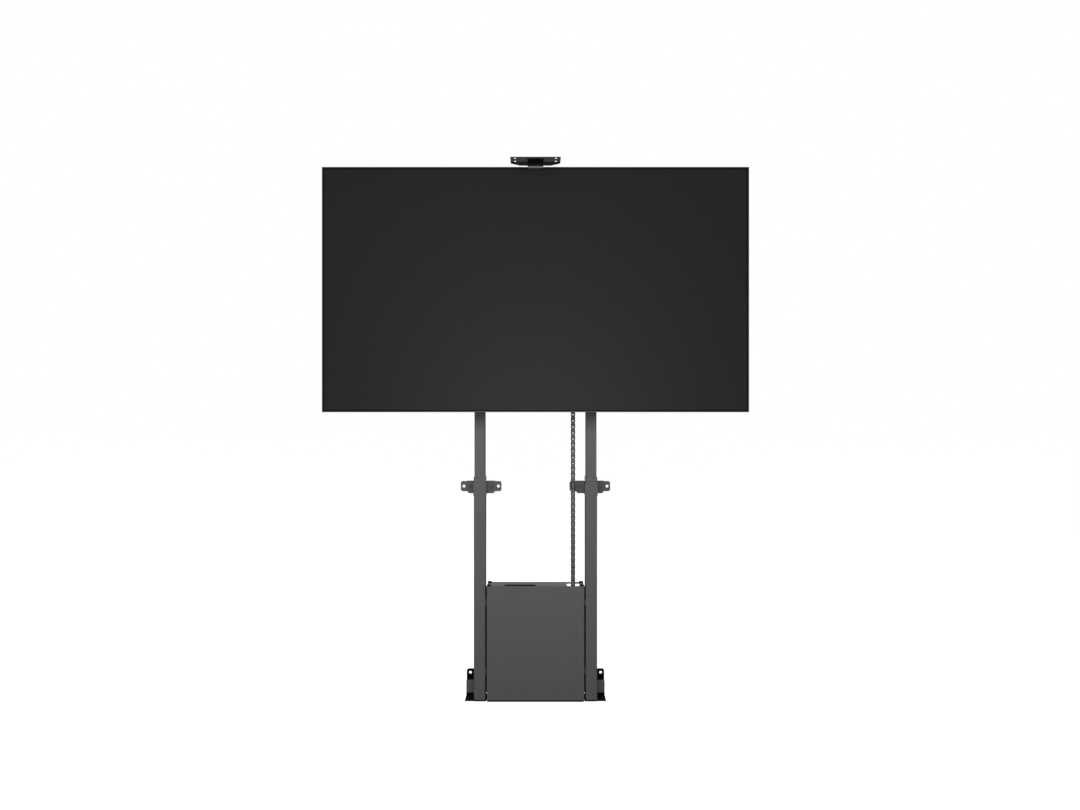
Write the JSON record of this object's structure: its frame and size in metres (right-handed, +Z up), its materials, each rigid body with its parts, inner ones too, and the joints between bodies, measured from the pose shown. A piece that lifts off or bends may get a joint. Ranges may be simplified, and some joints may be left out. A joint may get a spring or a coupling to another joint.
{
  "type": "tv lift mechanism",
  "caption": "Motorised floor-to-wall TV lift with telescopic columns, hook rails, flat screen, camera shelf, cable chain and folded front cover.",
  "frame": {"origin": "on the floor, halfway between the two floor bolt holes of the feet", "axes": "+X to the viewer's right, +Y towards the wall, +Z up"},
  "size_m": [1.677, 0.286, 2.1585],
  "materials": {
    "coated_steel": "fine matt powder coat",
    "bright_steel": "ground",
    "black_screw": "blackened",
    "black_plastic": "moulded, fine texture",
    "chain_plastic": "moulded nylon",
    "black_rubber": "matt",
    "motor_metal": "turned",
    "nut_brass": "turned",
    "carrier_metal": "cast",
    "bezel_metal": "black anodised",
    "screen_glass": "anti-glare, matt",
    "screen_back": "fine textured paint"
  },
  "bodies": {
    "base": {"left_outer_tube": "coated_steel", "right_outer_tube": "coated_steel", "column_base_plates": "coated_steel", "foot_bolts": "black_screw", "left_foot_bracket": "coated_steel", "right_foot_bracket": "coated_steel", "glide_collars": "black_plastic", "left_wall_plate": "coated_steel", "right_wall_plate": "coated_steel", "left_wall_strap": "coated_steel", "right_wall_strap": "coated_steel", "wall_strap_screws": "black_screw", "motor_mounts": "bright_steel", "left_gear_motor": "motor_metal", "right_gear_motor": "motor_metal", "spindle_bearings": "bright_steel", "cover_hangers": "coated_steel", "rear_tie_plate": "coated_steel", "tie_plate_bolts": "black_screw", "control_box": "black_plastic", "control_box_lid": "black_plastic", "mains_inlet": "black_plastic", "chain_fixed_run": "chain_plastic", "chain_anchor": "coated_steel"},
    "carriage": {"left_inner_tube": "coated_steel", "right_inner_tube": "coated_steel", "lower_glides": "black_plastic", "nut_carriers": "carrier_metal", "spindle_nuts": "nut_brass", "column_caps": "black_plastic", "left_head_clamp": "coated_steel", "right_head_clamp": "coated_steel", "head_beam": "coated_steel", "head_bolts": "black_screw", "left_upright": "coated_steel", "right_upright": "coated_steel", "upper_rail": "coated_steel", "lower_rail": "coated_steel", "rail_bolts": "black_screw", "chain_arm": "coated_steel", "chain_upper_run": "chain_plastic", "chain_lower_run": "chain_plastic"},
    "left_screw": {"left_spindle": "bright_steel"},
    "right_screw": {"right_spindle": "bright_steel"},
    "chain_roll": {"chain_bend": "chain_plastic"},
    "display": {"display_bezel": "bezel_metal", "display_glass": "screen_glass", "display_back_cover": "screen_back", "display_terminal_panel": "black_plastic", "left_hook_strip": "coated_steel", "right_hook_strip": "coated_steel", "display_bolts": "black_screw", "camera_post_guide": "coated_steel"},
    "camera_mount": {"camera_post": "coated_steel", "camera_shelf": "coated_steel"},
    "knob": {"clamp_knob": "black_plastic"},
    "cover": {"front_cover": "coated_steel", "cover_pads": "black_rubber", "cable_grommet": "black_rubber"}
  },
  "joints": [
    {"name": "carriage_lift", "type": "slide", "parent": "base", "child": "carriage", "axis": [0, 0, 1], "range_m": [-0.65, 0], "deforming": ["chain_lower_run", "chain_fixed_run"]},
    {"name": "left_spindle_turn", "type": "hinge", "parent": "base", "child": "left_screw", "pos_m": [-0.227, 0.006, 0.5], "axis": [0, 0, 1], "range_deg": [-29300, 0]},
    {"name": "right_spindle_turn", "type": "hinge", "parent": "base", "child": "right_screw", "pos_m": [0.227, 0.006, 0.5], "axis": [0, 0, 1], "range_deg": [-29300, 0]},
    {"name": "chain_roll_down", "type": "slide", "parent": "base", "child": "chain_roll", "axis": [0, 0, 1], "range_m": [-0.326, 0]},
    {"name": "display_unhook", "type": "slide", "parent": "carriage", "child": "display", "axis": [0, 0, 1], "range_m": [0, 0.025]},
    {"name": "camera_post_slide", "type": "slide", "parent": "display", "child": "camera_mount", "axis": [0, 0, 1], "range_m": [0, 0.12]},
    {"name": "clamp_knob_turn", "type": "hinge", "parent": "display", "child": "knob", "pos_m": [0, -0.07, 1.9295], "axis": [0, 1, 0], "range_deg": [0, 360]},
    {"name": "cover_lift", "type": "slide", "parent": "base", "child": "cover", "axis": [0, 0, 1], "range_m": [0, 0.025]}
  ],
  "couplings": [
    {"joint": "left_spindle_turn", "follows": "carriage_lift", "rad_per_m": 785.4},
    {"joint": "right_spindle_turn", "follows": "carriage_lift", "rad_per_m": 785.4},
    {"joint": "chain_roll_down", "follows": "carriage_lift", "ratio": 0.5}
  ]
}
